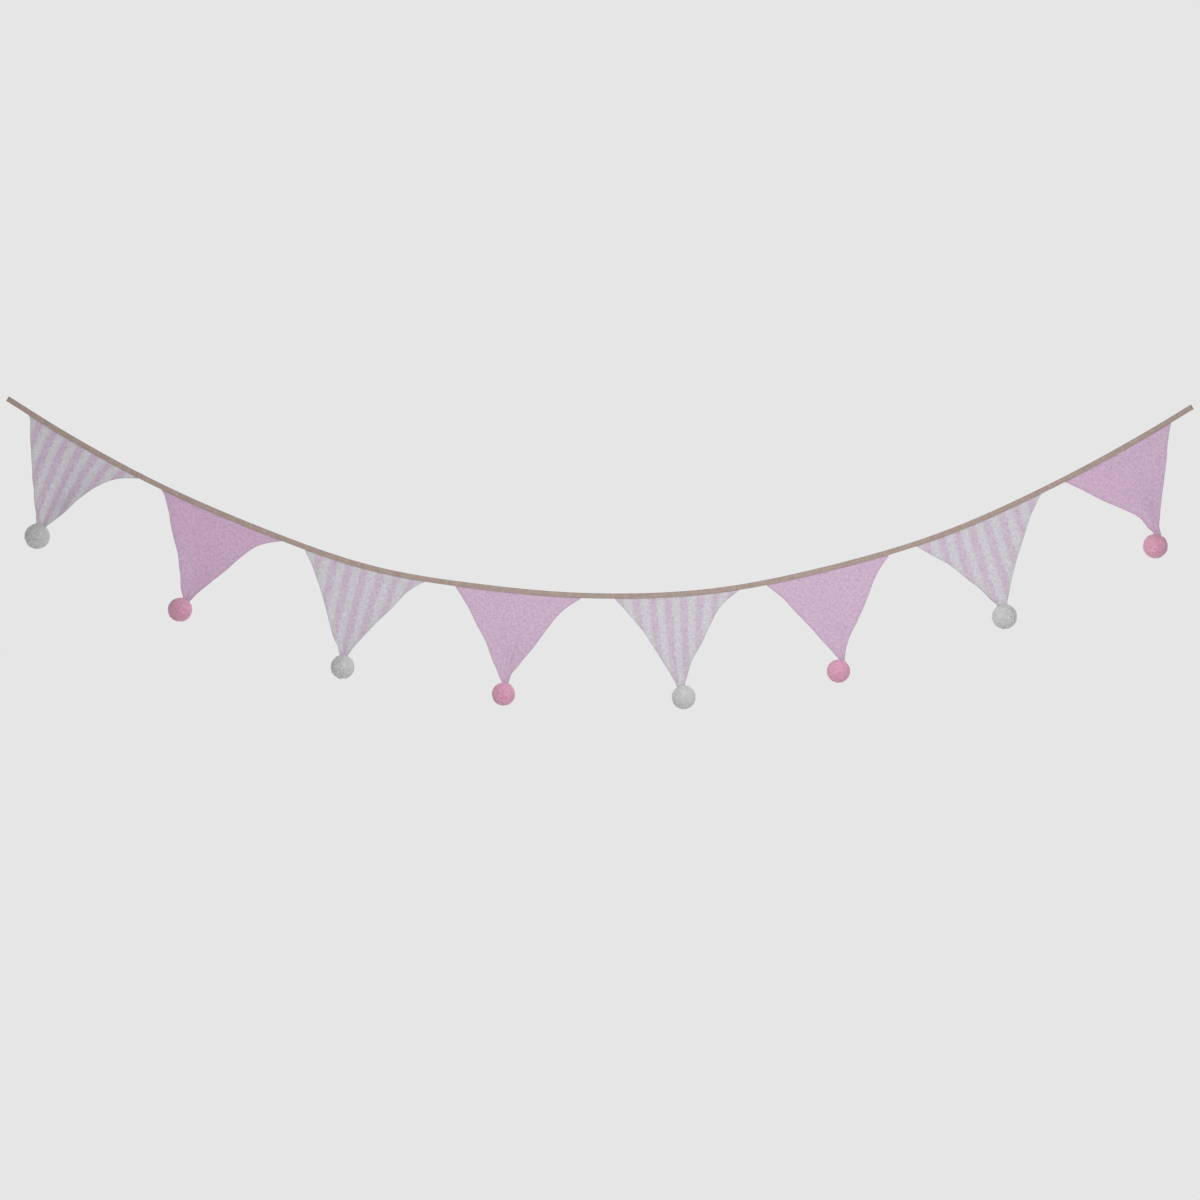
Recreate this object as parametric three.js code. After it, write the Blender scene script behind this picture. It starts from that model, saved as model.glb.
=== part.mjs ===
// Fabric bunting: eight gauze flags in a shallow swag, their top edges held in one folded
// binding tape, with a yarn pompom on the tip of each flag. Millimetres, +Z up, +X along the
// garland, +Y away from the front. The origin is the middle of the tape's top edge.

import * as THREE from 'three';
import { mergeVertices } from 'three/addons/utils/BufferGeometryUtils.js';

// Swag: heights of the tape's top edge above the origin at even stations from end to end
const SWAG_HALF_SPAN = 825;
const SWAG_HEIGHTS = [267, 172, 98, 40.5, 12.5, 0, 7.5, 40, 89.5, 164, 256];
const SLOPE_REACH = 0.5;

// Binding tape: a strip folded over the flags, its lips closed where there is no flag
const TAPE_HEIGHT = 7.6;
const TAPE_WALL = 0.9;
const TAPE_FOLD = 1.2;
const FOLD_ROUND = 0.71;
const FOLD_ROOF = 0.3;
const SLOT_OPEN = 1.6;
const SLOT_CLOSED = 0.4;
const LIP_CLEAR = 2;
const LIP_CLOSING = 9;
const TAIL_SPAN = 26;
const STEPS_PER_FLAG = 8;

// Flags: sheets of gauze, tucked into the tape and drawn to a narrow neck in the pompom
const GAUZE_THICKNESS = 1;
const TUCK_DROP = 2.2;
const FLAG_COLUMNS = 12;
const FLAG_ROWS = [0, 0.05, 0.12, 0.2, 0.3, 0.4, 0.5, 0.6, 0.7, 0.8, 0.88, 0.95, 1];
const FOLD_PEAK = 0.72;

// Pompoms: a yarn core with four-sided locks standing apart on it, parted round the neck
const CORE_SHARE = 0.66;
const LOCK_GRID = [3, 2, 2];
const PATCH_LENGTH = 6;
const PATCH_CORNERS = [0, 1, 4, 2];
const LOCK_ROOT = 0.77;
const LOCK_TIP = 0.84;
const LOCK_SHOULDER = 0.97;
const LOCK_UNEVENNESS = 0.03;
const NECK_GAP = 0.35;

// A row for each flag: from, to: its corners along X; left, right: how far its sides bow inwards
// at a fifth, two, three and four fifths of their length; pompom: X, Z and diameter of its
// pompom; lean: degrees the neck leans to +X; neck: the neck's width; sway: the tip's Y
const FLAGS = [
  { from: -818.5, to: -660.5, left: [-1.5, -0.5, -1, -0.5], right: [14.5, 17, 13, 4.5],
    pompom: [-810, 82, 37.5], lean: 19, neck: 16, sway: -3 },
  { from: -628.5, to: -455, left: [3.5, 3, 5, 2], right: [13, 12.5, 8, 5],
    pompom: [-605, -23.5, 36], lean: 31, neck: 11.5, sway: 3 },
  { from: -422, to: -250.5, left: [3, 3, 1, -1], right: [7, 5.5, 5.5, 4],
    pompom: [-370.5, -106, 35.5], lean: 6, neck: 12, sway: -2 },
  { from: -207.5, to: -26.5, left: [3.5, 3.5, 4, 1.5], right: [9, 8, 6, 5],
    pompom: [-139, -145, 34.5], lean: 8, neck: 9.5, sway: 2 },
  { from: 21, to: 199, left: [3.5, 6, 5, 3.5], right: [11.5, 11.5, 8.5, 8],
    pompom: [120.5, -149.5, 35.5], lean: -13, neck: 12, sway: -3 },
  { from: 238, to: 414, left: [3.5, 3, 2.5, 1], right: [6, 5, 5, 7],
    pompom: [343.5, -112, 34.5], lean: 16, neck: 9, sway: 1 },
  { from: 453.5, to: 632, left: [3, 6.5, 5, 4], right: [5, 5, 5.5, 4],
    pompom: [582, -33.5, 37], lean: -11, neck: 15, sway: -4 },
  { from: 666, to: 818.5, left: [2.5, 3.5, 7, 9], right: [2, 2, 2.5, 3.5],
    pompom: [800, 68, 36.5], lean: 9, neck: 10.5, sway: 2 },
];

// A row for each soft fold, in the flag of that number: at: its place across the flag, 0 to 1;
// spread: its half width; start: where it begins, 0 at the tape and 1 at the neck; depth: along Y
const FOLDS = [
  { flag: 1, at: 0.55, spread: 0.25, start: 0, depth: 6 },
  { flag: 1, at: 0.97, spread: 0.14, start: 0.05, depth: -5 },
  { flag: 2, at: 0.45, spread: 0.3, start: 0.05, depth: 3 },
  { flag: 2, at: 0.95, spread: 0.15, start: 0, depth: -2 },
  { flag: 3, at: 0.32, spread: 0.24, start: 0, depth: 4 },
  { flag: 3, at: 0.97, spread: 0.12, start: 0.05, depth: -3 },
  { flag: 4, at: 0.3, spread: 0.25, start: 0.05, depth: 4 },
  { flag: 4, at: 0.58, spread: 0.09, start: 0.3, depth: 2 },
  { flag: 4, at: 0.95, spread: 0.12, start: 0.2, depth: -3 },
  { flag: 5, at: 0.25, spread: 0.22, start: 0, depth: 2.5 },
  { flag: 5, at: 0.8, spread: 0.18, start: 0.05, depth: -4 },
  { flag: 6, at: 0.4, spread: 0.25, start: 0.1, depth: 4 },
  { flag: 6, at: 0.9, spread: 0.15, start: 0.05, depth: -3 },
  { flag: 7, at: 0.25, spread: 0.2, start: 0, depth: 3 },
  { flag: 7, at: 0.65, spread: 0.2, start: 0.1, depth: -4 },
  { flag: 8, at: 0.35, spread: 0.25, start: 0, depth: -3 },
  { flag: 8, at: 0.95, spread: 0.25, start: 0.1, depth: 4 },
];

const tapeCotton = { color: '#a39588', roughness: 0.9, metalness: 0 };
const stripedGauze = { color: '#c5bec6', roughness: 0.95, metalness: 0 };
const pinkGauze = { color: '#c6aac3', roughness: 0.95, metalness: 0 };
const whiteYarn = { color: '#bfbdc2', roughness: 1, metalness: 0 };
const pinkYarn = { color: '#cb91a9', roughness: 1, metalness: 0 };

// Smooth curve through evenly spaced values, at a place given in steps from the first one
function throughValues(values, place) {
  const last = values.length - 1;
  const step = Math.min(Math.max(Math.floor(place), 0), last - 1);
  const slopeAt = (i) => {
    if (i === 0) return (-3 * values[0] + 4 * values[1] - values[2]) / 2;
    if (i === last) return (3 * values[last] - 4 * values[last - 1] + values[last - 2]) / 2;
    return (values[i + 1] - values[i - 1]) / 2;
  };
  if (place < 0) return values[0] + place * slopeAt(0);
  if (place > last) return values[last] + (place - last) * slopeAt(last);
  const t = place - step;
  const rise = values[step + 1] - values[step];
  const start = slopeAt(step);
  const end = slopeAt(step + 1);
  return values[step] + t * (start + t * (3 * rise - 2 * start - end + t * (start + end - 2 * rise)));
}

// Height of the tape's top edge; past the outer flags the tape runs on straight
function topEdge(x) {
  const pitch = 2 * SWAG_HALF_SPAN / (SWAG_HEIGHTS.length - 1);
  return throughValues(SWAG_HEIGHTS, (x + SWAG_HALF_SPAN) / pitch);
}

// Point of the tape's middle plane, the given drop below the top edge and square to it
function onTape(x, drop) {
  const slope = (topEdge(x + SLOPE_REACH) - topEdge(x - SLOPE_REACH)) / (2 * SLOPE_REACH);
  const down = new THREE.Vector3(slope, 0, -1).normalize();
  return down.multiplyScalar(drop).add(new THREE.Vector3(x, 0, topEdge(x)));
}

// Closed skin over a row of rings; each ring runs along one face of a strip and back along the
// other, and the two faces are zipped together over both ends
function loft(rings) {
  const count = rings[0].length;
  const lastRing = (rings.length - 1) * count;
  const index = [];
  for (let ring = 0; ring < lastRing; ring += count) {
    for (let i = 0; i < count; i += 1) {
      const near = ring + i;
      const next = ring + (i + 1) % count;
      index.push(near, near + count, next, next, near + count, next + count);
    }
  }
  for (let i = 0; i < count / 2 - 1; i += 1) {
    const [face, faceNext, otherNext, other] = [i, i + 1, count - 2 - i, count - 1 - i];
    index.push(face, faceNext, other, faceNext, otherNext, other);
    index.push(lastRing + face, lastRing + other, lastRing + faceNext);
    index.push(lastRing + faceNext, lastRing + other, lastRing + otherNext);
  }
  const geometry = new THREE.BufferGeometry().setFromPoints(rings.flat());
  geometry.setIndex(index);
  geometry.computeVertexNormals();
  return geometry;
}

// One section of the folded tape: over the rounded fold outside, and back through the slot inside
function tapeRing(x, slotWidth) {
  const slot = slotWidth / 2;
  const face = slot + TAPE_WALL;
  const roof = TAPE_FOLD + FOLD_ROOF;
  const lipMiddle = (roof + TAPE_HEIGHT) / 2;
  const outside = [
    [-face, TAPE_HEIGHT], [-face, TAPE_FOLD], [-face * FOLD_ROUND, TAPE_FOLD * (1 - FOLD_ROUND)], [0, 0],
    [face * FOLD_ROUND, TAPE_FOLD * (1 - FOLD_ROUND)], [face, TAPE_FOLD], [face, TAPE_HEIGHT],
  ];
  const inside = [
    [slot, TAPE_HEIGHT], [slot, lipMiddle], [slot, roof], [0, roof],
    [-slot, roof], [-slot, lipMiddle], [-slot, TAPE_HEIGHT],
  ];
  return [...outside, ...inside].map(([y, drop]) => onTape(x, drop).setY(y));
}

function tapeGeometry() {
  const rings = [tapeRing(-SWAG_HALF_SPAN - TAIL_SPAN, SLOT_CLOSED)];
  FLAGS.forEach(({ from, to }) => {
    const start = from - LIP_CLEAR;
    const end = to + LIP_CLEAR;
    rings.push(tapeRing(start - LIP_CLOSING, SLOT_CLOSED));
    for (let step = 0; step <= STEPS_PER_FLAG; step += 1) {
      rings.push(tapeRing(start + (end - start) * step / STEPS_PER_FLAG, SLOT_OPEN));
    }
    rings.push(tapeRing(end + LIP_CLOSING, SLOT_CLOSED));
  });
  rings.push(tapeRing(SWAG_HALF_SPAN + TAIL_SPAN, SLOT_CLOSED));
  return loft(rings);
}

// Point of the neck, at a distance from the pompom's centre and a distance across from its middle
function neckPoint(flag, distance, across) {
  const lean = THREE.MathUtils.degToRad(flag.lean);
  const [x, z] = flag.pompom;
  return new THREE.Vector3(
    x + distance * Math.sin(lean) + across * Math.cos(lean),
    0,
    z + distance * Math.cos(lean) - across * Math.sin(lean),
  );
}

// Point of a side, from the tape's lower edge (0) to the neck (1); inward is 1 on the left side
function sidePoint(corner, neck, bows, inward, v) {
  const bow = throughValues([0, ...bows, 0], v * (bows.length + 1));
  const side = new THREE.Vector3().subVectors(neck, corner).normalize();
  const inwards = new THREE.Vector3(-side.z, 0, side.x).multiplyScalar(inward * bow);
  return new THREE.Vector3().lerpVectors(corner, neck, v).add(inwards);
}

// How far the cloth stands from the flat at a place across (u) and down (v) the flag
function foldDepth(number, sway, u, v) {
  const { smoothstep } = THREE.MathUtils;
  const folds = FOLDS.filter((fold) => fold.flag === number);
  return folds.reduce((depth, fold) => {
    const across = Math.exp(-(((u - fold.at) / fold.spread) ** 2));
    const fade = 1 - smoothstep(v, FOLD_PEAK, 1);
    return depth + fold.depth * across * smoothstep(v, fold.start, FOLD_PEAK) * fade;
  }, sway * v * v);
}

// The hung flag: its sides, its top on the tape and its neck, blended over the whole sheet
function flagGeometry(flag, number) {
  const radius = flag.pompom[2] / 2;
  const half = flag.neck / 2;
  const cornerLeft = onTape(flag.from, TAPE_HEIGHT);
  const cornerRight = onTape(flag.to, TAPE_HEIGHT);
  const neckLeft = neckPoint(flag, radius, -half);
  const neckRight = neckPoint(flag, radius, half);
  const neckEnd = radius * CORE_SHARE + NECK_GAP;
  const ring = (pointAt, v) => {
    const sheet = Array.from({ length: FLAG_COLUMNS + 1 }, (_, column) => {
      const u = column / FLAG_COLUMNS;
      return pointAt(u).setY(foldDepth(number, flag.sway, u, v));
    });
    const front = sheet.map((point) => point.clone().setY(point.y - GAUZE_THICKNESS / 2));
    const back = sheet.map((point) => point.clone().setY(point.y + GAUZE_THICKNESS / 2));
    return [...front, ...back.reverse()];
  };
  const hung = (u, v) => {
    const left = sidePoint(cornerLeft, neckLeft, flag.left, 1, v);
    const right = sidePoint(cornerRight, neckRight, flag.right, -1, v);
    const straightTop = new THREE.Vector3().lerpVectors(cornerLeft, cornerRight, u);
    const top = onTape(THREE.MathUtils.lerp(flag.from, flag.to, u), TAPE_HEIGHT);
    const topSag = top.sub(straightTop).multiplyScalar(1 - v);
    return left.lerp(right, u).add(topSag);
  };
  const rings = [
    ring((u) => onTape(THREE.MathUtils.lerp(flag.from, flag.to, u), TUCK_DROP), 0),
    ...FLAG_ROWS.map((v) => ring((u) => hung(u, v), v)),
    ring((u) => neckPoint(flag, neckEnd, (u - 0.5) * flag.neck), 1),
  ];
  return loft(rings);
}

// A ball of yarn: each patch of a gridded box blown up to a sphere carries one flaring lock.
// A patch is two triangles of the grid, and its corners stand at four of their six places
function pompomGeometry(diameter) {
  const radius = diameter / 2;
  const core = radius * CORE_SHARE;
  const grid = new THREE.BoxGeometry(1, 1, 1, ...LOCK_GRID);
  const directions = grid.getAttribute('position');
  const patches = grid.getIndex().array;
  const points = [];
  for (let patch = 0; patch < patches.length / PATCH_LENGTH; patch += 1) {
    const corners = PATCH_CORNERS.map((place) => {
      const corner = patches[patch * PATCH_LENGTH + place];
      return new THREE.Vector3().fromBufferAttribute(directions, corner).normalize();
    });
    const middle = new THREE.Vector3();
    corners.forEach((corner) => middle.add(corner));
    middle.normalize();
    const towards = (corner, share, distance) => {
      return middle.clone().lerp(corner, share).normalize().multiplyScalar(distance);
    };
    const reach = radius * (1 - LOCK_UNEVENNESS * (patch % 3) / 2);
    const crown = middle.clone().multiplyScalar(reach);
    corners.forEach((corner, i) => {
      const next = corners[(i + 1) % corners.length];
      const [floor, floorNext] = [corner, next].map((c) => towards(c, 1, core));
      const [root, rootNext] = [corner, next].map((c) => towards(c, LOCK_ROOT, core));
      const [tip, tipNext] = [corner, next].map((c) => towards(c, LOCK_TIP, reach * LOCK_SHOULDER));
      points.push(floor, floorNext, root, floorNext, rootNext, root);
      points.push(root, rootNext, tip, rootNext, tipNext, tip);
      points.push(tip, tipNext, crown);
    });
  }
  const geometry = mergeVertices(new THREE.BufferGeometry().setFromPoints(points));
  geometry.computeVertexNormals();
  return geometry;
}

function piece(name, geometry, finish) {
  const mesh = new THREE.Mesh(geometry, new THREE.MeshStandardMaterial(finish));
  mesh.name = name;
  return mesh;
}

const bunting = new THREE.Group();
bunting.add(piece('binding_tape', tapeGeometry(), tapeCotton));
FLAGS.forEach((flag, i) => {
  const number = i + 1;
  const striped = number % 2 === 1;
  const [x, z, diameter] = flag.pompom;
  const pompom = piece(`pompom_${number}`, pompomGeometry(diameter), striped ? whiteYarn : pinkYarn);
  pompom.position.set(x, flag.sway, z);
  pompom.rotation.y = THREE.MathUtils.degToRad(flag.lean);
  bunting.add(piece(`flag_${number}`, flagGeometry(flag, number), striped ? stripedGauze : pinkGauze));
  bunting.add(pompom);
});

export default bunting;
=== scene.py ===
import math
from types import SimpleNamespace
import bmesh
import bpy
import numpy as np
from mathutils import Matrix, Vector, noise


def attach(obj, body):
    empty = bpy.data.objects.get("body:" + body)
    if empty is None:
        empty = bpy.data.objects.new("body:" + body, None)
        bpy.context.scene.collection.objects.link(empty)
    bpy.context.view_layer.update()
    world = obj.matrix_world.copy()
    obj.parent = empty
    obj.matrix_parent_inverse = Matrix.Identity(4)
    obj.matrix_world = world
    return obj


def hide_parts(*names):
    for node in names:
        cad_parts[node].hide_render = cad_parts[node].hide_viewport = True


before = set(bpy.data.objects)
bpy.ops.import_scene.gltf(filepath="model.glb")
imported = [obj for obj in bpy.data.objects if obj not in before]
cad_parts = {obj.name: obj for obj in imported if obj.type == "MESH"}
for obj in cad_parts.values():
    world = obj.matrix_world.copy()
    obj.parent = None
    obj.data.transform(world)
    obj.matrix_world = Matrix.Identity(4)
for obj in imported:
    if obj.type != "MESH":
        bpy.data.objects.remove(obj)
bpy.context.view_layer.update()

# Camera, floor and light
# The garland hangs two metres above a pale, evenly lit studio floor. A soft lamp stands in front of
# it, right of the middle, so the ends are dimmer, and a weaker one behind. A long lens sees it square on.
photo_pixels = 1200
pixel_size = 0.00144
origin_pixel_down = 593.3
view_distance = 6.0
camera_data = bpy.data.cameras.new("front_view")
camera_data.lens = camera_data.sensor_width * view_distance / (photo_pixels * pixel_size)
camera = bpy.data.objects.new("front_view", camera_data)
camera.location = (0, -view_distance, (origin_pixel_down - photo_pixels / 2) * pixel_size)
camera.rotation_euler = (math.pi / 2, 0, 0)
bpy.context.collection.objects.link(camera)
bpy.context.scene.camera = camera
bpy.context.scene.view_settings.view_transform = "Standard"


def add_node(tree, kind, inputs=None, **settings):
    made = tree.nodes.new(kind)
    for name, value in settings.items():
        setattr(made, name, value)
    for key, value in (inputs or {}).items():
        if isinstance(value, bpy.types.NodeSocket):
            tree.links.new(value, made.inputs[key])
        else:
            made.inputs[key].default_value = value
    return made


def new_material(name):
    material = bpy.data.materials.new(name)
    material.use_nodes = True
    return material, material.node_tree, material.node_tree.nodes["Principled BSDF"]


def object_from(bm, name, material):
    mesh = bpy.data.meshes.new(name)
    bm.to_mesh(mesh)
    bm.free()
    mesh.materials.append(material)
    mesh.polygons.foreach_set("use_smooth", np.ones(len(mesh.polygons), bool))
    made = bpy.data.objects.new(name, mesh)
    bpy.context.collection.objects.link(made)
    return made


background_grey = 0.791
room_strength = 0.61
floor_white = 0.92
floor_drop = 2.0
floor_reach = 150.0
floor_paint, _, floor_shader = new_material("studio_floor")
floor_shader.inputs["Base Color"].default_value = (floor_white, floor_white, floor_white, 1)
floor_shader.inputs["Roughness"].default_value = 1
floor_shader.inputs["Specular IOR Level"].default_value = 0
floor_shader.inputs["Emission Color"].default_value = (1, 1, 1, 1)
floor_shader.inputs["Emission Strength"].default_value = background_grey - floor_white * room_strength
bm = bmesh.new()
floor_place = Matrix.Translation((0, 0, -floor_drop))
bmesh.ops.create_grid(bm, x_segments=1, y_segments=1, size=floor_reach, matrix=floor_place)
object_from(bm, "studio_floor", floor_paint)

world = bpy.data.worlds.new("studio")
world.use_nodes = True
bpy.context.scene.world = world
tree = world.node_tree
tree.nodes.clear()
room_light = add_node(tree, "ShaderNodeBackground", {"Strength": room_strength})
room_light.inputs["Color"].default_value = (1, 1, 1, 1)
backdrop = add_node(tree, "ShaderNodeBackground", {"Strength": background_grey})
backdrop.inputs["Color"].default_value = (1, 1, 1, 1)
path = add_node(tree, "ShaderNodeLightPath")
seen = add_node(tree, "ShaderNodeMixShader", {0: path.outputs["Is Camera Ray"]})
tree.links.new(room_light.outputs[0], seen.inputs[1])
tree.links.new(backdrop.outputs[0], seen.inputs[2])
add_node(tree, "ShaderNodeOutputWorld", {"Surface": seen.outputs[0]})

lamp_size = 0.8
lamp_aim = Vector((0.22, 0, 0))
for lamp_name, lamp_place, lamp_power in (("front_lamp", Vector((0.22, -1.2, 0.3)), 8.2),
                                          ("back_lamp", Vector((0.22, 1.6, 0.7)), 7)):
    lamp_data = bpy.data.lights.new(lamp_name, "AREA")
    lamp_data.size = lamp_size
    lamp_data.energy = lamp_power
    lamp = bpy.data.objects.new(lamp_name, lamp_data)
    lamp.visible_camera = False
    lamp.location = lamp_place
    lamp.rotation_euler = (lamp_aim - lamp_place).to_track_quat("-Z", "Y").to_euler()
    bpy.context.collection.objects.link(lamp)

# Binding tape
# A narrow strip of plain-woven beige cotton, folded lengthwise over the top edges of the flags and
# sewn down near its lips. It closes flat between the flags. Lengths are millimetres up to to_metres.
swag_half_span = 825
swag_heights = [267, 172, 98, 40.5, 12.5, 0, 7.5, 40, 89.5, 164, 256]
flag_spans = [(-818.5, -660.5), (-628.5, -455), (-422, -250.5), (-207.5, -26.5),
              (21, 199), (238, 414), (453.5, 632), (666, 818.5)]
tape_height = 7.6
tape_cloth = 0.7
tape_yarn = 0.45
tape_yarn_relief = 0.12
beige_dark = (0.315, 0.245, 0.211)
beige_light = (0.397, 0.312, 0.27)
lips_open = 0.7
lips_closed = 0.12
lip_clear = 2
lip_closing = 9
tail_span = 26
tape_steps = 480
strip_steps = 28
stitch_above_lip = 1.5
seam_dip = 0.16
seam_spread = 0.7
tape_ripple = 0.12
ripple_length = 9
slope_reach = 0.5
streak_across = 0.16
streak_along = 0.035
millimetre = 0.001


def through_values(values, place):
    """Smooth curve through evenly spaced values, straight on past both ends."""
    last = len(values) - 1

    def slope_at(i):
        if i == 0:
            return (-3 * values[0] + 4 * values[1] - values[2]) / 2
        if i == last:
            return (3 * values[last] - 4 * values[last - 1] + values[last - 2]) / 2
        return (values[i + 1] - values[i - 1]) / 2

    if place < 0:
        return values[0] + place * slope_at(0)
    if place > last:
        return values[last] + (place - last) * slope_at(last)
    step = min(int(place), last - 1)
    t = place - step
    rise = values[step + 1] - values[step]
    start, end = slope_at(step), slope_at(step + 1)
    return values[step] + t * (start + t * (3 * rise - 2 * start - end + t * (start + end - 2 * rise)))


def top_edge(x):
    pitch = 2 * swag_half_span / (len(swag_heights) - 1)
    return through_values(swag_heights, (x + swag_half_span) / pitch)


def tape_slope(x):
    return (top_edge(x + slope_reach) - top_edge(x - slope_reach)) / (2 * slope_reach)


def on_tape(x, drop):
    """Point of the tape's middle plane, the given drop below its top edge and square to it."""
    return Vector((x, 0, top_edge(x))) + drop * Vector((tape_slope(x), 0, -1)).normalized()


def smooth_step(low, high, value):
    t = min(max((value - low) / (high - low), 0), 1)
    return t * t * (3 - 2 * t)


def lip_gap(x):
    """Half the gap between the tape's two lips: open over a flag, closed between flags."""
    outside = min(max(start - x, x - end) for start, end in flag_spans)
    return lips_open + (lips_closed - lips_open) * smooth_step(lip_clear, lip_clear + lip_closing, outside)


def tape_section(across, half):
    """Y and drop of the strip's middle at a place across it, -1 and 1 at its lips and 0 on the fold."""
    fold = half * math.pi / 2
    lip = tape_height - tape_cloth / 2 - half
    run = abs(across) * (fold + lip)
    side = math.copysign(1, across)
    if run < fold:
        return side * half * math.sin(run / half), tape_cloth / 2 + half * (1 - math.cos(run / half))
    return side * half, tape_cloth / 2 + half + run - fold


def to_metres(bm):
    bmesh.ops.scale(bm, vec=(millimetre, millimetre, millimetre), verts=bm.verts)


def maths(tree, operation, *values):
    return add_node(tree, "ShaderNodeMath", dict(enumerate(values)), operation=operation).outputs[0]


def cloud_on(tree, cloth, size, detail):
    """Soft noise on cloth coordinates, multiplied by a size for each axis."""
    sized = add_node(tree, "ShaderNodeVectorMath", {0: cloth, 1: size}, operation="MULTIPLY")
    settings = {"Vector": sized.outputs[0], "Scale": 1, "Detail": detail}
    return add_node(tree, "ShaderNodeTexNoise", settings).outputs["Fac"]


def weave_group():
    """Plain weave on cloth coordinates in millimetres: the yarns' height, and soft uneven streaks."""
    group = bpy.data.node_groups.new("plain_weave", "ShaderNodeTree")
    group.interface.new_socket("Cloth", in_out="INPUT", socket_type="NodeSocketVector")
    group.interface.new_socket("Yarn Pitch", in_out="INPUT", socket_type="NodeSocketFloat")
    group.interface.new_socket("Height", in_out="OUTPUT", socket_type="NodeSocketFloat")
    group.interface.new_socket("Streaks", in_out="OUTPUT", socket_type="NodeSocketFloat")
    given = add_node(group, "NodeGroupInput")
    pitch = add_node(group, "ShaderNodeCombineXYZ", {i: given.outputs["Yarn Pitch"] for i in range(3)})
    divided = {0: given.outputs["Cloth"], 1: pitch.outputs[0]}
    counted = add_node(group, "ShaderNodeVectorMath", divided, operation="DIVIDE").outputs[0]
    place = add_node(group, "ShaderNodeSeparateXYZ", {0: counted})

    def yarn(axis):
        return maths(group, "ABSOLUTE", maths(group, "SINE", maths(group, "MULTIPLY", axis, math.pi)))

    across, down = place.outputs[0], place.outputs[1]
    warp, weft = yarn(across), yarn(down)
    cell = maths(group, "ADD", maths(group, "FLOOR", across), maths(group, "FLOOR", down))
    over = maths(group, "FLOORED_MODULO", cell, 2)
    warp_over = maths(group, "MULTIPLY", warp, over)
    weft_over = maths(group, "MULTIPLY", weft, maths(group, "SUBTRACT", 1, over))
    height = maths(group, "ADD", warp_over, weft_over)
    upright = cloud_on(group, counted, (streak_across, streak_along, 1), 3)
    level = cloud_on(group, counted, (streak_along, streak_across, 1), 3)
    soft = maths(group, "MULTIPLY", maths(group, "ADD", upright, level), 0.5)
    add_node(group, "NodeGroupOutput", {"Height": height, "Streaks": soft})
    return group


plain_weave = weave_group()


def woven_cloth(name, cut_size, yarn_pitch, yarn_relief):
    """Cotton cloth on the piece's own cut: its material, its cloth coordinates and its streaks."""
    material, tree, shader = new_material(name)
    cut = add_node(tree, "ShaderNodeUVMap", uv_map="OFBake").outputs[0]
    full_size = {0: cut, 1: (*cut_size, 1)}
    place = add_node(tree, "ShaderNodeVectorMath", full_size, operation="MULTIPLY").outputs[0]
    weave = add_node(tree, "ShaderNodeGroup", node_tree=plain_weave)
    tree.links.new(place, weave.inputs["Cloth"])
    weave.inputs["Yarn Pitch"].default_value = yarn_pitch
    relief = {"Height": weave.outputs["Height"], "Strength": 0.6, "Distance": yarn_relief * millimetre}
    normal = add_node(tree, "ShaderNodeBump", relief).outputs[0]
    tree.links.new(normal, shader.inputs["Normal"])
    shader.inputs["Roughness"].default_value = 0.92
    shader.inputs["Specular IOR Level"].default_value = 0.25
    shader.inputs["Sheen Weight"].default_value = 0.12
    shader.inputs["Sheen Roughness"].default_value = 0.6
    return SimpleNamespace(material=material, tree=tree, shader=shader, place=place, normal=normal,
                           streaks=weave.outputs["Streaks"])


def blend_colours(tree, share, first, second):
    """Mix of two colours; a share above 1 goes on past the second one."""
    made = add_node(tree, "ShaderNodeMix", {"Factor": share}, data_type="RGBA", clamp_factor=False)
    for socket, value in zip((made.inputs[6], made.inputs[7]), (first, second)):
        if isinstance(value, bpy.types.NodeSocket):
            tree.links.new(value, socket)
        else:
            socket.default_value = (*value, 1)
    return made.outputs[2]


def stretch(tree, value, low, high):
    """A soft value widened so that low becomes 0 and high becomes 1."""
    return add_node(tree, "ShaderNodeMapRange", {"Value": value, "From Min": low, "From Max": high},
                    interpolation_type="SMOOTHSTEP").outputs[0]


tape_end = swag_half_span + tail_span
tape_run = sum(math.hypot(1, tape_slope(x)) for x in range(-tape_end, tape_end))
tape_width = 2 * tape_height
cotton = woven_cloth("tape_cotton", (tape_run, tape_width), tape_yarn, tape_yarn_relief)
faded = stretch(cotton.tree, cotton.streaks, 0.35, 0.65)
beige = blend_colours(cotton.tree, faded, beige_dark, beige_light)
cotton.tree.links.new(beige, cotton.shader.inputs["Base Color"])

bm = bmesh.new()
bm.loops.layers.uv.new("OFBake")
bmesh.ops.create_grid(bm, x_segments=tape_steps, y_segments=strip_steps, size=0.5, calc_uvs=True)
for vert in bm.verts:
    x = 2 * tape_end * vert.co.x
    across = 2 * vert.co.y
    half = lip_gap(x) + tape_cloth / 2
    y, drop = tape_section(across, half)
    ripple = tape_ripple * noise.noise((x / ripple_length, 3 * across, 0.5))
    lip_wave = tape_ripple * noise.noise((x / ripple_length, math.copysign(2, across), 7.5)) * abs(across)
    dip = seam_dip * math.exp(-((tape_height - stitch_above_lip - drop) / seam_spread) ** 2)
    vert.co = on_tape(x, drop + lip_wave)
    vert.co.y = y + ripple * abs(across) - math.copysign(dip, y)
to_metres(bm)
bmesh.ops.recalc_face_normals(bm, faces=bm.faces)
tape = object_from(bm, "tape", cotton.material)
tape_wall = tape.modifiers.new("cloth_thickness", "SOLIDIFY")
tape_wall.thickness = tape_cloth * millimetre
tape_wall.offset = 0
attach(tape, "root")
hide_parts("binding_tape")

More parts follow.
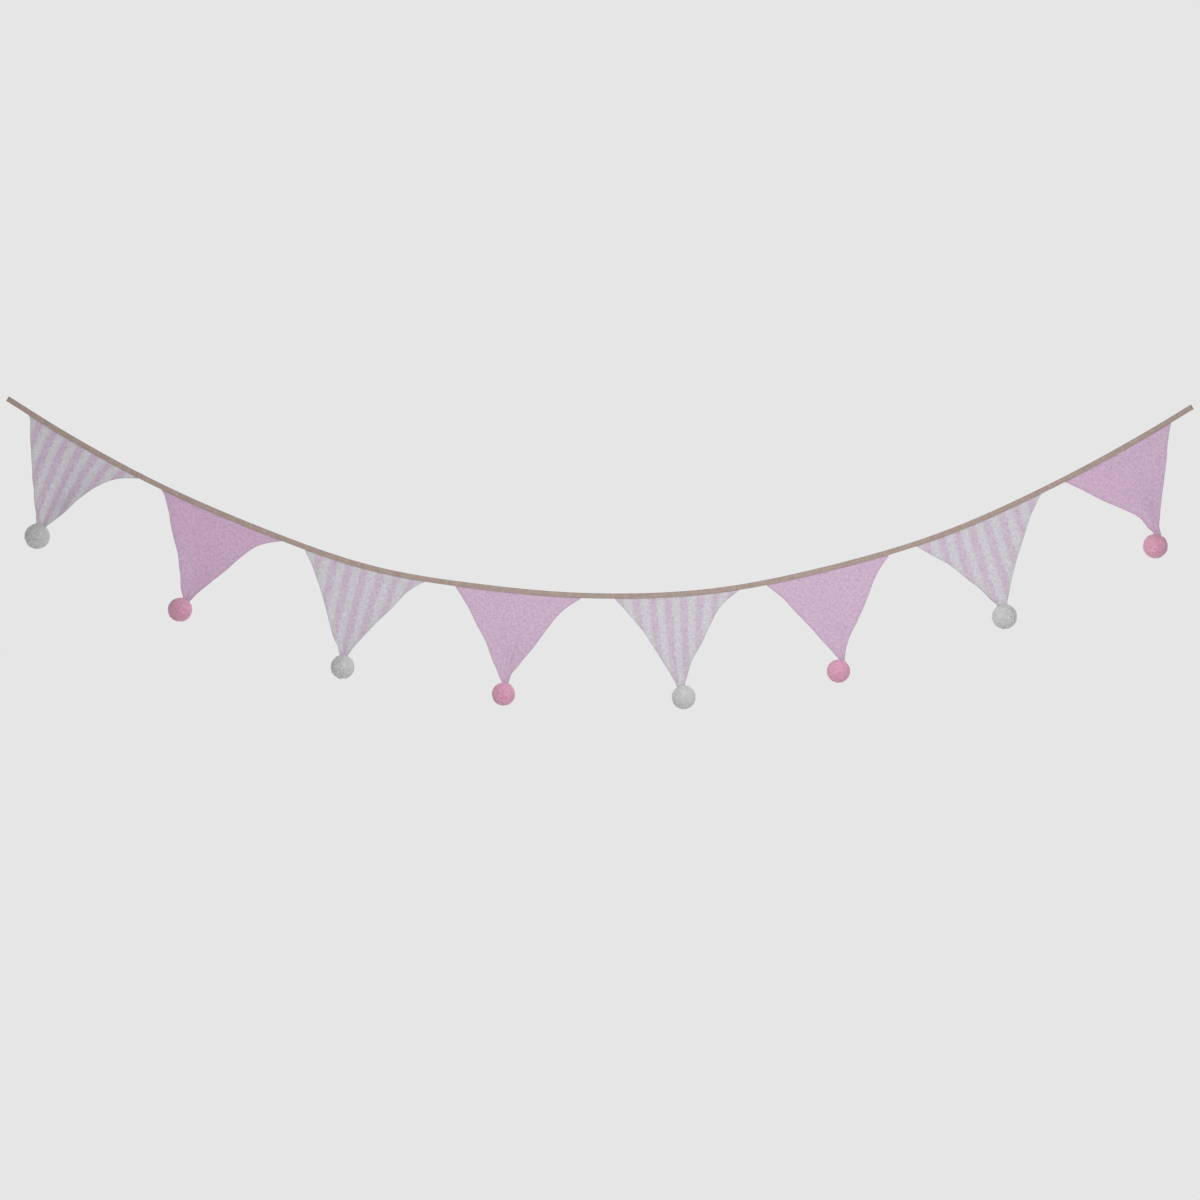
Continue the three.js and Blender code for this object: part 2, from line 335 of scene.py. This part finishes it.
# Stitching on the tape
# One row of beige lockstitch a little above the lips, seen alike on both faces. Each stitch is a
# short length of thread that dips into the cloth at its ends.
stitch_pitch = 2.9
stitch_length = 2.3
thread_radius = 0.17
thread_corners = 4
thread_dark = (0.37, 0.295, 0.262)
thread_light = (0.455, 0.365, 0.325)
# columns: place along the stitch, share of the thread's radius, lift off the cloth
stitch_rings = [(-0.5, 0.5, -0.2), (-0.3, 1, 0.05), (0.3, 1, 0.05), (0.5, 0.5, -0.2)]


def stitch_mesh(name, places, runs, outs):
    """Joined stitches: places are their middles, runs their directions and outs their outward sides."""
    turn = 2 * math.pi * np.arange(thread_corners) / thread_corners
    ups = np.cross(outs, runs)
    points = []
    for along, width, lift in stitch_rings:
        middle = places + runs * (along * stitch_length) + outs * lift
        ring = np.cos(turn)[None, :, None] * ups[:, None] + np.sin(turn)[None, :, None] * outs[:, None]
        points.append(middle[:, None] + ring * (width * thread_radius))
    points = np.stack(points, 1)
    count, rings = points.shape[:2]
    corner = np.arange(count * rings * thread_corners).reshape(count, rings, thread_corners)
    beside = np.roll(corner, -1, axis=2)
    sides = np.stack([corner[:, :-1], corner[:, 1:], beside[:, 1:], beside[:, :-1]], -1).reshape(-1, 4)
    ends = np.concatenate([corner[:, 0], corner[:, -1, ::-1]])
    mesh = bpy.data.meshes.new(name)
    mesh.from_pydata(points.reshape(-1, 3) * millimetre, [], np.concatenate([sides, ends]).tolist())
    return mesh


thread, tree, shader = new_material("tape_thread")
grain = add_node(tree, "ShaderNodeTexNoise", {"Scale": 900, "Detail": 2})
tree.links.new(add_node(tree, "ShaderNodeTexCoord").outputs["Object"], grain.inputs["Vector"])
thread_tone = blend_colours(tree, grain.outputs["Fac"], thread_dark, thread_light)
tree.links.new(thread_tone, shader.inputs["Base Color"])
shader.inputs["Roughness"].default_value = 0.8
places, runs, outs = [], [], []
x = -tape_end + stitch_pitch
while x < tape_end - stitch_pitch:
    run = Vector((1, 0, tape_slope(x))).normalized()
    face = lip_gap(x) + tape_cloth - seam_dip + thread_radius / 2
    for side in (-1, 1):
        middle = on_tape(x, tape_height - stitch_above_lip)
        middle.y = side * face
        places.append(middle)
        runs.append(run)
        outs.append((0, side, 0))
    x += stitch_pitch * run.x
mesh = stitch_mesh("stitch_lengths", np.array(places), np.array(runs), np.array(outs, float))
bm = bmesh.new()
bm.from_mesh(mesh)
bmesh.ops.recalc_face_normals(bm, faces=bm.faces)
stitches = object_from(bm, "tape_stitches", thread)
bpy.data.meshes.remove(mesh)
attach(stitches, "root")

# Flags
# Triangles of crinkled double gauze with a narrow turned hem on both sides, tucked into the tape and
# drawn to a neck at the tip. Odd ones have white and pale pink stripes, even ones are lilac pink.
cut_width = 182
cut_length = 140
map_width = 1.3 * cut_width
tuck_drop = 2.2
gauze_cloth = 1.1
gauze_yarn = 0.7
gauze_yarn_relief = 0.25
# columns: distance from the side, share of the cloth's thickness
hem_shares = [(0, 1), (2.6, 1), (3.4, 0.38), (4.4, 0.62)]
hem_zone = 5.4
widest_hem = 0.3
hem_columns = 0.11
# Painted shade: the next values darken the flag's colour along the hem's edge and at its stitch groove
hem_shadow = 2
seam_groove_shade = 0.35
hem_shade_strength = 0.65
seam_from_side = 3.4
seam_half = 0.5
flag_columns = 116
flag_rows = 100
tuck_share = 0.03
neck_share = 0.05
core_share = 0.66
neck_gap = 0.35
fold_peak = 0.72
corner_reach = 0.07
pinch_reach = 0.08
crease_fade_in = (-0.1, 0.15)
crease_fade_out = (-0.12, 0.05)
side_wave = 0.7
wave_length = 17
wave_fade_in = (0, 0.1)
wave_fade_out = (0.85, 1)
gather_depth = 0.4
gather_count = 2.3
gather_shift = 0.13
gather_zone = (0.75, 0.94)
tape_hold = (0.02, 0.12)
yarn_hold = (0.96, 1)
yarn_flattening = 0.8
noise_apart = 11
crinkle_depth = 0.3
# columns: length of a pucker across and down the cloth, its share of the depth
crinkles = [(3.4, 3.8, 0.5), (3.8, 13, 0.9), (12, 3.6, 0.9)]
stripe_period = 23.2
# how far the left and the right side bow inwards at fifths of their length, at their upper corners and
# just above the neck; the pompom's x, z and diameter; the neck's lean in degrees and width; the tip's y;
# how much deeper and pinker it is painted, as painted shade on the dimmer end flags; the stripes' shift
# from the cut's middle, in periods, their narrowing towards the tip, and how far they lean and bow
flags = [
    {"bows": ((-1.5, -0.5, -1, -0.5), (14.5, 17, 13, 4.5)), "corner": (2.2, -0.9), "pinch": (0.7, 0.2),
     "pompom": (-810, 82, 37.5), "lean": 19, "neck": 16, "sway": -3, "dye": 0.25,
     "stripe": (0.09, 0.28, -9.2, 5.1)},
    {"bows": ((3.5, 3, 5, 2), (13, 12.5, 8, 5)), "corner": (1.5, -0.6), "pinch": (-1.3, 0.7),
     "pompom": (-605, -23.5, 36), "lean": 31, "neck": 11.5, "sway": 3, "dye": 0.3,
     "stripe": (0, 0.2, 0, 0)},
    {"bows": ((3, 3, 1, -1), (7, 5.5, 5.5, 4)), "corner": (-0.7, 0.2), "pinch": (1.5, 0.6),
     "pompom": (-370.5, -106, 35.5), "lean": 6, "neck": 12, "sway": -2, "dye": 0,
     "stripe": (-0.06, 0.16, 1.5, 1.1)},
    {"bows": ((3.5, 3.5, 4, 1.5), (9, 8, 6, 5)), "corner": (-0.6, -1.1), "pinch": (-0.4, 2.5),
     "pompom": (-139, -145, 34.5), "lean": 8, "neck": 9.5, "sway": 2, "dye": 0,
     "stripe": (0, 0.2, 0, 0)},
    {"bows": ((3.5, 6, 5, 3.5), (11.5, 11.5, 8.5, 8)), "corner": (0.1, -1.6), "pinch": (0.2, -0.5),
     "pompom": (120.5, -149.5, 35.5), "lean": -13, "neck": 12, "sway": -3, "dye": 0,
     "stripe": (-0.44, 0.26, -2.6, 1.4)},
    {"bows": ((3.5, 3, 2.5, 1), (6, 5, 5, 7)), "corner": (-0.2, -1), "pinch": (0.2, 0.5),
     "pompom": (343.5, -112, 34.5), "lean": 16, "neck": 9, "sway": 1, "dye": 0,
     "stripe": (0, 0.2, 0, 0)},
    {"bows": ((3, 6.5, 5, 4), (5, 5, 5.5, 4)), "corner": (-0.2, -0.3), "pinch": (-1, -0.4),
     "pompom": (582, -33.5, 37), "lean": -11, "neck": 15, "sway": -4, "dye": 0,
     "stripe": (-0.44, 0, -3.8, 1.3)},
    {"bows": ((2.5, 3.5, 7, 9), (2, 2, 2.5, 3.5)), "corner": (0.3, 0.3), "pinch": (-2, 1.7),
     "pompom": (800, 68, 36.5), "lean": 9, "neck": 10.5, "sway": 2, "dye": 0.1,
     "stripe": (0, 0.2, 0, 0)},
]
# columns: flag; place across; half width across; where it starts down the flag; depth along y
folds = [
    (1, 0.55, 0.25, 0, 6), (1, 0.97, 0.14, 0.05, -5),
    (2, 0.45, 0.3, 0.05, 3), (2, 0.95, 0.15, 0, -2),
    (3, 0.32, 0.24, 0, 4), (3, 0.97, 0.12, 0.05, -3),
    (4, 0.3, 0.25, 0.05, 4), (4, 0.58, 0.09, 0.3, 2), (4, 0.95, 0.12, 0.2, -3),
    (5, 0.25, 0.22, 0, 2.5), (5, 0.8, 0.18, 0.05, -4),
    (6, 0.4, 0.25, 0.1, 4), (6, 0.9, 0.15, 0.05, -3),
    (7, 0.25, 0.2, 0, 3), (7, 0.65, 0.2, 0.1, -4),
    (8, 0.35, 0.25, 0, -3), (8, 0.95, 0.25, 0.1, 4),
]
# columns: flag; start across and down; end across and down; half width and depth of the crease
creases = [
    (1, 0.55, 0.15, 0.5, 0.95, 3.5, 0.8), (1, 0.2, 0.3, 0.35, 0.9, 3, -0.5),
    (1, 0.78, 0.2, 0.66, 0.75, 4, 0.5),
    (2, 0.4, 0.05, 0.8, 0.5, 4, -0.8), (2, 0.3, 0.3, 0.45, 0.9, 3.5, 0.4),
    (3, 0.6, 0.3, 0.5, 0.98, 3, 0.35), (3, 0.15, 0.1, 0.3, 0.7, 4, -0.5),
    (3, 0.75, 0.15, 0.65, 0.6, 4, 0.5),
    (4, 0.47, 0.5, 0.5, 1, 1.2, 0.9), (4, 0.62, 0.45, 0.6, 0.95, 1.3, 0.8),
    (4, 0.75, 0.1, 0.6, 0.6, 4, 0.5),
    (5, 0.3, 0.2, 0.45, 0.97, 3, 0.35), (5, 0.08, 0.4, 0.25, 0.75, 3, -0.5),
    (5, 0.85, 0.45, 0.7, 0.9, 3, -0.6),
    (6, 0.6, 0.35, 0.5, 0.98, 3, 0.4), (6, 0.2, 0.15, 0.4, 0.8, 4.5, -0.5),
    (6, 0.92, 0.4, 0.75, 0.9, 3.5, -0.6),
    (7, 0.12, 0.3, 0.35, 0.8, 3.5, -0.5), (7, 0.55, 0.4, 0.5, 0.98, 3, 0.35),
    (7, 0.28, 0.1, 0.3, 0.5, 4, 0.6),
    (8, 0.85, 0.4, 0.62, 1, 3, 0.3), (8, 0.4, 0.55, 0.45, 1, 2.5, -0.3),
    (8, 0.2, 0.1, 0.35, 0.6, 5, 0.5),
]


def neck_point(flag, distance, across):
    """Point of the neck, at distances from the pompom's centre and from the neck's middle."""
    lean = math.radians(flag["lean"])
    x, z, _ = flag["pompom"]
    return Vector((x, 0, z)) + Matrix.Rotation(lean, 3, "Y") @ Vector((across, 0, distance))


def flag_ends(number, flag):
    """Both corners at the tape's lower edge, and both sides of the neck where the pompom begins."""
    radius = flag["pompom"][2] / 2
    corners = [on_tape(x, tape_height) for x in flag_spans[number - 1]]
    necks = [neck_point(flag, radius, side * flag["neck"] / 2) for side in (-1, 1)]
    return corners, necks


def side_point(flag, side, corner, neck, v):
    """Point of the left (0) or right (1) side, from the tape's lower edge (v is 0) to the neck (1)."""
    bows = flag["bows"][side]
    above_neck = (1 - v) / pinch_reach
    bow = through_values([0, *bows, 0], v * (len(bows) + 1))
    bow += flag["corner"][side] * v / corner_reach * math.exp(1 - v / corner_reach)
    bow += flag["pinch"][side] * above_neck ** 2 * math.exp(1 - above_neck ** 2)
    along = (neck - corner).normalized()
    inwards = Vector((-along.z, 0, along.x)) * (1 - 2 * side)
    return corner.lerp(neck, v) + bow * inwards


def across_at(column, width):
    """Place across the flag, 0 to 1, of a grid column, with more columns in the two hems."""
    hem = min(hem_zone / width, widest_hem)
    if column < hem_columns:
        return hem * column / hem_columns
    if column > 1 - hem_columns:
        return 1 - hem * (1 - column) / hem_columns
    return hem + (1 - 2 * hem) * (column - hem_columns) / (1 - 2 * hem_columns)


def hung_point(number, flag, corners, necks, row, u, v):
    """Place of the cloth seen from the front: tucked into the tape, hanging, or drawn into the yarn."""
    from_x, to_x = flag_spans[number - 1]
    tape_x = from_x + (to_x - from_x) * u
    if row < tuck_share:
        return on_tape(tape_x, tuck_drop + (tape_height - tuck_drop) * row / tuck_share)
    if row > 1 - neck_share:
        radius = flag["pompom"][2] / 2
        neck_end = radius * core_share + neck_gap
        inside = (row - 1 + neck_share) / neck_share
        return neck_point(flag, radius + (neck_end - radius) * inside, (u - 0.5) * flag["neck"])
    left, right = [side_point(flag, side, corners[side], necks[side], v) for side in (0, 1)]
    sag = on_tape(tape_x, tape_height) - corners[0].lerp(corners[1], u)
    place = left.lerp(right, u) + (1 - v) * sag
    wave = side_wave * smooth_step(*wave_fade_in, v) * (1 - smooth_step(*wave_fade_out, v))
    for share, side_seed in ((1 - u, 0.5), (u, 9.5)):
        place.x += wave * share * noise.noise((v * cut_length / wave_length, side_seed, noise_apart * number))
    return place


def along_top(place, corners, necks):
    """How far a place lies from the flag's middle line, measured along its top edge."""
    top_middle = (corners[0] + corners[1]) / 2
    chord = corners[1] - corners[0]
    axis = (necks[0] + necks[1]) / 2 - top_middle
    aside = place - top_middle
    turned = chord.x * axis.z - chord.z * axis.x
    return chord.length * (aside.x * axis.z - aside.z * axis.x) / turned


def fold_depth(number, u, v):
    fade = 1 - smooth_step(fold_peak, 1, v)
    depth = 0
    for flag_number, at, spread, start, deep in folds:
        if flag_number == number:
            depth += deep * math.exp(-((u - at) / spread) ** 2) * smooth_step(start, fold_peak, v) * fade
    return depth


def crease_depth(number, u, v, width):
    """Soft troughs and ridges along straight lines on the cut, fading out at both ends."""
    depth = 0
    for flag_number, u0, v0, u1, v1, half, deep in creases:
        if flag_number == number:
            along = min(max((v - v0) / (v1 - v0), 0), 1)
            aside = (u - u0 - (u1 - u0) * along) * width
            begun = smooth_step(v0 + crease_fade_in[0], v0 + crease_fade_in[1], v)
            ended = smooth_step(v1 + crease_fade_out[0], v1 + crease_fade_out[1], v)
            depth += deep * begun * (1 - ended) * math.exp(-(aside / half) ** 2)
    return depth


def crinkle(s, t, number):
    """Small puckers of the gauze, round ones and some drawn out along the warp and the weft."""
    height = 0
    for i, (across, down, share) in enumerate(crinkles):
        height += share * noise.noise((s / across, t / down, noise_apart * number + 3 * i))
    return crinkle_depth * height


def small_relief(number, u, v, width, s):
    """Creases, crinkle and the gathers above the neck, held flat by the tape and by the yarn."""
    turn = math.tau * (gather_count * u + gather_shift * number)
    gathers = gather_depth * smooth_step(*gather_zone, v) * math.sin(turn)
    free = smooth_step(*tape_hold, v) * (1 - yarn_flattening * smooth_step(*yarn_hold, v))
    return (crease_depth(number, u, v, width) + crinkle(s, v * cut_length, number) + gathers) * free


def hang_flag(number, flag, material):
    corners, necks = flag_ends(number, flag)
    shift, narrowing, stripe_lean, stripe_bow = flag["stripe"]
    bm = bmesh.new()
    cut_map = bm.loops.layers.uv.new("OFBake")
    thick = bm.verts.layers.deform.verify()
    hem_edge_shade = bm.verts.layers.float.new("hem_edge_shade")
    deeper_dye = bm.verts.layers.float.new("deeper_dye")
    bmesh.ops.create_grid(bm, x_segments=flag_columns, y_segments=flag_rows, size=0.5)
    on_cut = {}
    for vert in bm.verts:
        column, row = vert.co.x + 0.5, 0.5 - vert.co.y
        v = min(max((row - tuck_share) / (1 - tuck_share - neck_share), 0), 1)
        width = cut_width + (flag["neck"] - cut_width) * v
        u = across_at(column, width)
        place = hung_point(number, flag, corners, necks, row, u, v)
        s = along_top(place, corners, necks) / (1 - narrowing * v)
        s += stripe_lean * v + stripe_bow * 4 * v * (1 - v)
        place.y = flag["sway"] * v * v + fold_depth(number, u, v) + small_relief(number, u, v, width, s)
        vert.co = place
        from_side = min(u, 1 - u) * width
        # Painted shade mask: dark along the hem's edge and at its stitch groove
        groove_shade = seam_groove_shade * math.exp(-((from_side - seam_from_side) / seam_half) ** 2)
        vert[hem_edge_shade] = max(1 - smooth_step(0, hem_shadow, from_side), groove_shade)
        # Painted shade: the dimmer end flags are coloured deeper and pinker
        vert[deeper_dye] = flag["dye"]
        vert[thick][0] = np.interp(from_side, *zip(*hem_shares))
        on_cut[vert] = (0.5 + (s + shift * stripe_period) / map_width, 1 - row)
    for face in bm.faces:
        for loop in face.loops:
            loop[cut_map].uv = on_cut[loop.vert]
    to_metres(bm)
    bmesh.ops.recalc_face_normals(bm, faces=bm.faces)
    made = object_from(bm, f"gauze_flag_{number}", material)
    made.vertex_groups.new(name="cloth_thickness")
    wall = made.modifiers.new("cloth_thickness", "SOLIDIFY")
    wall.thickness = gauze_cloth * millimetre
    wall.offset = 0
    wall.vertex_group = "cloth_thickness"
    return made


pucker_relief = 1.5
# The puckers' height also sets the gauze's colour: partly its own mottle, partly painted shade darker in the
# pits
pucker_range = (0.38, 0.6)
# columns: length of a pucker across and down the cloth, its share of the height
fine_puckers = [(2.3, 2.5, 0.12), (2.1, 6.5, 0.44), (6.5, 2.1, 0.44)]


def pucker_group():
    """Crinkled gauze on cloth coordinates in millimetres: the height of its small uneven puckers."""
    group = bpy.data.node_groups.new("gauze_puckers", "ShaderNodeTree")
    group.interface.new_socket("Cloth", in_out="INPUT", socket_type="NodeSocketVector")
    group.interface.new_socket("Puckers", in_out="OUTPUT", socket_type="NodeSocketFloat")
    given = add_node(group, "NodeGroupInput")
    total = 0
    for across, down, share in fine_puckers:
        cloud = cloud_on(group, given.outputs[0], (1 / across, 1 / down, 1), 2)
        total = maths(group, "MULTIPLY_ADD", cloud, share, total)
    add_node(group, "NodeGroupOutput", {"Puckers": total})
    return group


gauze_puckers = pucker_group()


def double_gauze(name):
    """Plain weave with puckers, with masks for the painted shade on the hem's edge and stitch groove, and for
    a flag's painted end shade.
    """
    gauze = woven_cloth(name, (map_width, cut_length), gauze_yarn, gauze_yarn_relief)
    crinkled = add_node(gauze.tree, "ShaderNodeGroup", node_tree=gauze_puckers)
    gauze.tree.links.new(gauze.place, crinkled.inputs["Cloth"])
    gauze.puckers = crinkled.outputs["Puckers"]
    relief = {"Height": gauze.puckers, "Strength": 0.8, "Distance": pucker_relief * millimetre}
    bump = add_node(gauze.tree, "ShaderNodeBump", {**relief, "Normal": gauze.normal})
    gauze.tree.links.new(bump.outputs[0], gauze.shader.inputs["Normal"])
    # Colour share from pucker height: partly the gauze's own mottle, partly painted shade darkening the pits
    gauze.shade = stretch(gauze.tree, gauze.puckers, *pucker_range)
    # Painted shade along the hem's edge and stitch groove, read from the flag's mask
    edge = add_node(gauze.tree, "ShaderNodeAttribute", attribute_name="hem_edge_shade").outputs["Fac"]
    gauze.edge = maths(gauze.tree, "MULTIPLY", edge, hem_shade_strength)
    # Mask of the flag's painted shade, which makes the end flags deeper and pinker
    gauze.dye = add_node(gauze.tree, "ShaderNodeAttribute", attribute_name="deeper_dye").outputs["Fac"]
    return gauze


def colour_gauze(gauze, colour, hem_shade_colour):
    # Blends in the painted shade colour along the hem's edge and stitch groove
    hem_shaded = blend_colours(gauze.tree, gauze.edge, colour, hem_shade_colour)
    gauze.tree.links.new(hem_shaded, gauze.shader.inputs["Base Color"])


lilac_dark = (0.504, 0.362, 0.483)
lilac_light = (0.623, 0.452, 0.596)
# Painted shade colour for the lilac hem's edge and stitch groove
lilac_hem_shade = (0.36, 0.25, 0.35)
# Painted shade on the end flags: the lilac is made deeper and pinker
end_shade_deepening = (0.98, 0.81, 0.963)
pink_gauze = double_gauze("pink_gauze")
tree = pink_gauze.tree
# Lilac darker in the pucker pits: partly its own mottle, partly painted shade
lilac = blend_colours(tree, pink_gauze.shade, lilac_dark, lilac_light)
end_shaded_lilac = add_node(tree, "ShaderNodeVectorMath", {0: lilac, 1: end_shade_deepening}, operation="MULTIPLY").outputs[0]
colour_gauze(pink_gauze, blend_colours(tree, pink_gauze.dye, lilac, end_shaded_lilac), lilac_hem_shade)

white_dark = (0.51, 0.5, 0.533)
white_light = (0.625, 0.614, 0.653)
stripe_dark = (0.488, 0.398, 0.482)
stripe_light = (0.597, 0.493, 0.59)
# Painted shade colour for the striped hem's edge and stitch groove
striped_hem_shade = (0.38, 0.34, 0.38)
stripe_pull = 8
stripe_softness = 0.75
thinnest_dye = 0.65
dye_unevenness = 0.5
striped_gauze = double_gauze("striped_gauze")
tree = striped_gauze.tree
across = add_node(tree, "ShaderNodeSeparateXYZ", {0: striped_gauze.place}).outputs[0]
from_middle = maths(tree, "SUBTRACT", across, map_width / 2)
pulled = maths(tree, "SUBTRACT", striped_gauze.puckers, 0.5)
uneven = maths(tree, "MULTIPLY_ADD", pulled, stripe_pull, from_middle)
wave = maths(tree, "COSINE", maths(tree, "MULTIPLY", uneven, math.tau / stripe_period))
blotches = stretch(tree, striped_gauze.streaks, 0.36, 0.62)
# Painted shade on the end flags: their stripes take more pink, on top of the uneven dye
least_dyed = maths(tree, "ADD", striped_gauze.dye, thinnest_dye)
dyed = maths(tree, "MULTIPLY_ADD", blotches, dye_unevenness, least_dyed)
pink_share = maths(tree, "MULTIPLY", stretch(tree, wave, -stripe_softness, stripe_softness), dyed)
# White and pale pink darker in the pucker pits: partly their own mottle, partly painted shade
white = blend_colours(tree, striped_gauze.shade, white_dark, white_light)
pale_pink = blend_colours(tree, striped_gauze.shade, stripe_dark, stripe_light)
colour_gauze(striped_gauze, blend_colours(tree, pink_share, white, pale_pink), striped_hem_shade)

gauze_flags = []
for number, flag in enumerate(flags, 1):
    striped = number % 2 == 1
    hung = hang_flag(number, flag, (striped_gauze if striped else pink_gauze).material)
    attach(hung, "root")
    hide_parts(f"flag_{number}")
    gauze_flags.append(hung)

# Pompoms
# Balls of soft yarn wound, tied and trimmed round, one sewn on each tip. Each cut yarn end splits
# into fine plies that splay outwards, and the yarn parts round the neck of the flag.
yarn_ends = 560
plies = 14
ply_corners = 3
# columns: share of the ply's reach, radius there
ply_rings = [(0.77, 0.6), (1, 0.24)]
end_jitter = 0.035
ply_splay = 0.075
mean_reach = 0.95
trim_unevenness = 0.015
longest_ply = 1.01
middle_shade = 0.5
end_shade = 0.09
ply_shade = 0.08
shade_limits = (0.02, 0.98)
neck_part = 1.0
yarn_core = 0.89
golden_angle = math.pi * (3 - math.sqrt(5))


def yarn_directions(rng):
    """Evenly spread, slightly jittered directions of the cut yarn ends."""
    index = np.arange(yarn_ends)
    height = 1 - (2 * index + 1) / yarn_ends
    ring = np.sqrt(1 - height ** 2)
    ends = np.stack([ring * np.cos(golden_angle * index), ring * np.sin(golden_angle * index), height], 1)
    ends += rng.normal(0, end_jitter, ends.shape)
    return ends / np.linalg.norm(ends, axis=1, keepdims=True)


def yarn_ball(number, flag, material):
    rng = np.random.default_rng(number)
    radius = flag["pompom"][2] / 2
    ends = yarn_directions(rng)
    reach = mean_reach + rng.normal(0, trim_unevenness, yarn_ends)
    shade = middle_shade + rng.normal(0, end_shade, yarn_ends)

    aims = ends[:, None] + rng.normal(0, ply_splay, (yarn_ends, plies, 3))
    aims /= np.linalg.norm(aims, axis=2, keepdims=True)
    reaches = np.minimum(reach[:, None] + rng.normal(0, trim_unevenness, (yarn_ends, plies)), longest_ply)
    shades = np.clip(shade[:, None] + rng.normal(0, ply_shade, (yarn_ends, plies)), *shade_limits).ravel()
    aims = aims.reshape(-1, 3)
    reaches = reaches.ravel()
    starts = np.repeat(ends, plies, axis=0)
    sideways = np.cross(aims, rng.normal(size=aims.shape))
    sideways /= np.linalg.norm(sideways, axis=1, keepdims=True)
    upwards = np.cross(aims, sideways)
    turn = math.tau * np.arange(ply_corners) / ply_corners
    circle = np.cos(turn)[None, :, None] * sideways[:, None] + np.sin(turn)[None, :, None] * upwards[:, None]

    points, alongs = [], []
    for along, width in ply_rings:
        share = (along - ply_rings[0][0]) / (1 - ply_rings[0][0])
        middle = (starts + (aims - starts) * share) * (radius * along * reaches)[:, None]
        at_neck = (np.abs(middle[:, 0]) < flag["neck"] / 2 + neck_part) & (middle[:, 2] > 0)
        parted = np.where(aims[:, 1] < 0, -1, 1) * np.maximum(np.abs(middle[:, 1]), neck_part)
        middle[:, 1] = np.where(at_neck, parted, middle[:, 1])
        points.append(middle[:, None] + circle * width)
        alongs.append(share)
    points = np.stack(points, 1)
    count, rings = points.shape[:2]
    corner = np.arange(count * rings * ply_corners).reshape(count, rings, ply_corners)
    beside = np.roll(corner, -1, axis=2)
    sides = np.stack([corner[:, :-1], beside[:, :-1], beside[:, 1:], corner[:, 1:]], -1).reshape(-1, 4)
    tips = corner[:, -1]

    core = bmesh.new()
    bmesh.ops.create_icosphere(core, subdivisions=3, radius=yarn_core * radius)
    core_points = np.array([vert.co for vert in core.verts])
    core_faces = [[vert.index + points.size // 3 for vert in face.verts] for face in core.faces]
    core.free()
    everything = np.concatenate([points.reshape(-1, 3), core_points])
    lean = np.array(Matrix.Rotation(math.radians(flag["lean"]), 3, "Y"))
    x, z, _ = flag["pompom"]
    placed = everything @ lean.T + (x, flag["sway"], z)

    mesh = bpy.data.meshes.new(f"yarn_pompom_{number}")
    mesh.from_pydata(placed * millimetre, [], sides.tolist() + tips.tolist() + core_faces)
    core_shades = np.full(len(core_points), middle_shade)
    shade_at = np.concatenate([np.repeat(shades, rings * ply_corners), core_shades])
    # The core sits at the roots' end of the map, so it takes their painted shade
    along_at = np.concatenate([np.tile(np.repeat(alongs, ply_corners), count), np.zeros(len(core_points))])
    corners = np.empty(len(mesh.loops), int)
    mesh.loops.foreach_get("vertex_index", corners)
    yarn_map = mesh.uv_layers.new(name="OFBake")
    yarn_map.uv.foreach_set("vector", np.stack([shade_at, along_at], 1)[corners].astype(np.float32).ravel())
    mesh.materials.append(material)
    mesh.polygons.foreach_set("use_smooth", np.ones(len(mesh.polygons), bool))
    made = bpy.data.objects.new(f"yarn_pompom_{number}", mesh)
    bpy.context.collection.objects.link(made)
    return made


# Painted shade: the yarn is a little darker at the roots, deep among the plies, and on the core
root_painted_shade = 0.975
root_length = 0.8


def soft_yarn(name, dark, light):
    """Yarn coloured by its own map: each ply's shade across, and root to tip along, with painted shade
    darkening the roots.
    """
    material, tree, shader = new_material(name)
    place = add_node(tree, "ShaderNodeSeparateXYZ")
    tree.links.new(add_node(tree, "ShaderNodeUVMap", uv_map="OFBake").outputs[0], place.inputs[0])
    tone = blend_colours(tree, place.outputs[0], dark, light)
    # Painted shade at the roots of the plies, fading out towards the tips
    root = tuple(root_painted_shade * value for value in dark)
    yarn = blend_colours(tree, stretch(tree, place.outputs[1], 0, root_length), root, tone)
    tree.links.new(yarn, shader.inputs["Base Color"])
    shader.inputs["Roughness"].default_value = 0.95
    shader.inputs["Specular IOR Level"].default_value = 0.15
    shader.inputs["Sheen Weight"].default_value = 0.4
    shader.inputs["Sheen Roughness"].default_value = 0.5
    return material


white_yarn = soft_yarn("white_yarn", (0.676, 0.676, 0.685), (0.741, 0.741, 0.75))
pink_yarn = soft_yarn("pink_yarn", (0.781, 0.428, 0.567), (0.846, 0.499, 0.644))
for number, (flag, hung) in enumerate(zip(flags, gauze_flags), 1):
    striped = number % 2 == 1
    pompom = yarn_ball(number, flag, white_yarn if striped else pink_yarn)
    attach(pompom, "root")
    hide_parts(f"pompom_{number}")
